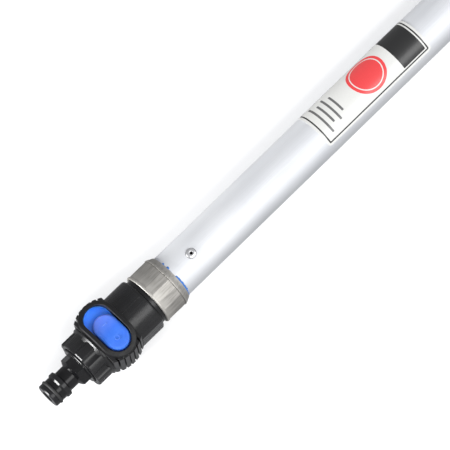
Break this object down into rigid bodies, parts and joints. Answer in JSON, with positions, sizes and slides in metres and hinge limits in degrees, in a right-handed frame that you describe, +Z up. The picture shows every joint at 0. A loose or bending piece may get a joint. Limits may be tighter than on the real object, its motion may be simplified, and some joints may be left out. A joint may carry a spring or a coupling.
{
  "type": "window cleaning pole",
  "caption": "Water-fed telescopic pole with a hose nipple and sliding shut-off valve at its foot, a lever clamp between its tubes and a threaded tip for a brush.",
  "frame": {"origin": "on the pole's axis, halfway along the front land of the hose nipple", "axes": "+X along the pole from the hose nipple to the brush tip, +Z up through the valve's button with the pole lying on its flats, +Y across the pole"},
  "size_m": [1.0945, 0.0422, 0.0468],
  "materials": {
    "black_plastic": "fine moulded texture, satin",
    "blue_plastic": "smooth moulded, semi gloss",
    "satin_metal": "plated die casting, satin, warm grey",
    "blue_seal": "soft, slightly shiny",
    "black_rubber": "matt",
    "tube_aluminium": "drawn and anodised, satin",
    "rivet_aluminium": "plain, lightly polished",
    "stainless_steel": "turned, bright",
    "white_acetal": "machined, satin",
    "label_film": "printed film, semi gloss"
  },
  "bodies": {
    "outer_pole": {"hose_nipple": "black_plastic", "nipple_o_ring": "black_rubber", "nipple_gasket": "black_rubber", "valve_body": "black_plastic", "front_cover": "black_plastic", "rear_cover": "black_plastic", "cover_screws": "stainless_steel", "button_tray": "blue_plastic", "gate_seals": "black_rubber", "detent_ball": "stainless_steel", "detent_spring": "stainless_steel", "outlet_gasket": "black_rubber", "tube_insert": "black_plastic", "insert_o_rings": "black_rubber", "outer_tube": "tube_aluminium", "tube_rivets": "rivet_aluminium", "collar_nut": "satin_metal", "sealing_ring": "blue_seal", "label_sticker": "label_film", "clamp_collar": "black_plastic", "clamp_bush": "white_acetal", "clamp_washers": "stainless_steel", "clamp_bolt": "stainless_steel", "lever_pin": "stainless_steel"},
    "button": {"slide_button": "blue_plastic", "valve_gate": "white_acetal"},
    "lever": {"clamp_lever": "blue_plastic"},
    "glide": {"glide_ring": "white_acetal"},
    "inner_pole": {"inner_tube": "tube_aluminium", "piston": "black_plastic", "piston_seals": "black_rubber", "piston_rivets": "rivet_aluminium", "tip_insert": "black_plastic", "tip_o_rings": "black_rubber", "nose_o_ring": "black_rubber", "tip_rivets": "rivet_aluminium"}
  },
  "joints": [
    {"name": "button_slide", "type": "slide", "parent": "outer_pole", "child": "button", "axis": [0, 1, 0], "range_m": [0, 0.007]},
    {"name": "tube_extend", "type": "slide", "parent": "outer_pole", "child": "glide", "axis": [1, 0, 0], "range_m": [0, 0.6]},
    {"name": "tube_turn", "type": "hinge", "parent": "glide", "child": "inner_pole", "pos_m": [0.15, 0, 0], "axis": [1, 0, 0], "continuous": true},
    {"name": "lever_open", "type": "hinge", "parent": "outer_pole", "child": "lever", "pos_m": [1.0325, 0.01285, 0.0228], "axis": [1, 0, 0], "range_deg": [0, 130]}
  ]
}
